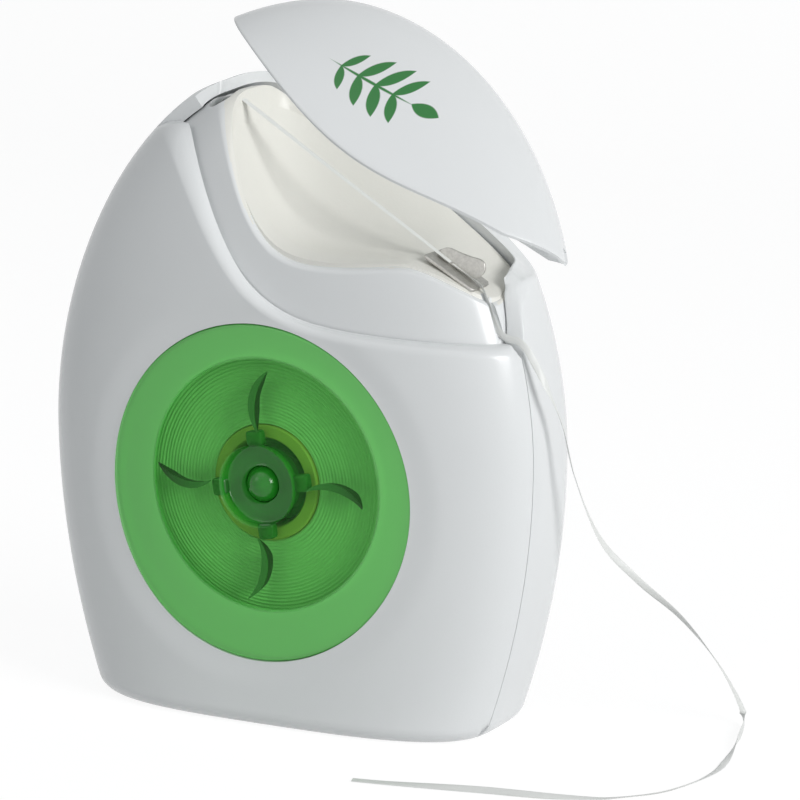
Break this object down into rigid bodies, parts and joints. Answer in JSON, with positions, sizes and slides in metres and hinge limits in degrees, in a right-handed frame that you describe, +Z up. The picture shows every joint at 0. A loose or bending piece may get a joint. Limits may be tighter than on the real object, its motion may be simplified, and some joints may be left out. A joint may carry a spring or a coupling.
{
  "type": "dental floss dispenser",
  "caption": "Pocket dental floss dispenser with a see-through bobbin window, a film-hinged tilting cap, a scooped deck with a steel cutter and a drawn length of floss.",
  "frame": {"origin": "bottom centre of the case, on the surface it stands on, measured without the drawn floss tail", "axes": "+X to the right seen from the front, -Y out of the front face with the window, +Z up"},
  "size_m": [0.0837, 0.0403, 0.0815],
  "materials": {
    "shell_white": "glossy injection-moulded polypropylene",
    "insert_cream": "satin moulded plastic, slightly warmer than the shells",
    "cutter_steel": "stamped thin steel",
    "window_green": "transparent green polystyrene",
    "core_tan": "plain moulded plastic",
    "floss_white": "waxed flat multifilament tape"
  },
  "bodies": {
    "case": {"front_shell": "shell_white", "rear_shell": "shell_white", "neck_insert": "insert_cream", "cutter_plate": "cutter_steel", "hinge_film": "shell_white", "window": "window_green", "floss_inner_run": "floss_white", "floss_deck_span": "floss_white", "floss_tail": "floss_white"},
    "cap": {"cap": "shell_white"},
    "spool": {"bobbin_core": "core_tan", "floss_pack": "floss_white", "floss_winding": "floss_white"}
  },
  "joints": [
    {"name": "cap_hinge", "type": "hinge", "parent": "case", "child": "cap", "pos_m": [0.008, 0.00961, 0.06448], "axis": [-0.8423, 0, 0.5391], "range_deg": [-44, 46], "deforming": ["hinge_film"]},
    {"name": "spool_spin", "type": "hinge", "parent": "case", "child": "spool", "pos_m": [-0.0004, 0, 0.0279], "axis": [0, 1, 0], "continuous": true}
  ]
}
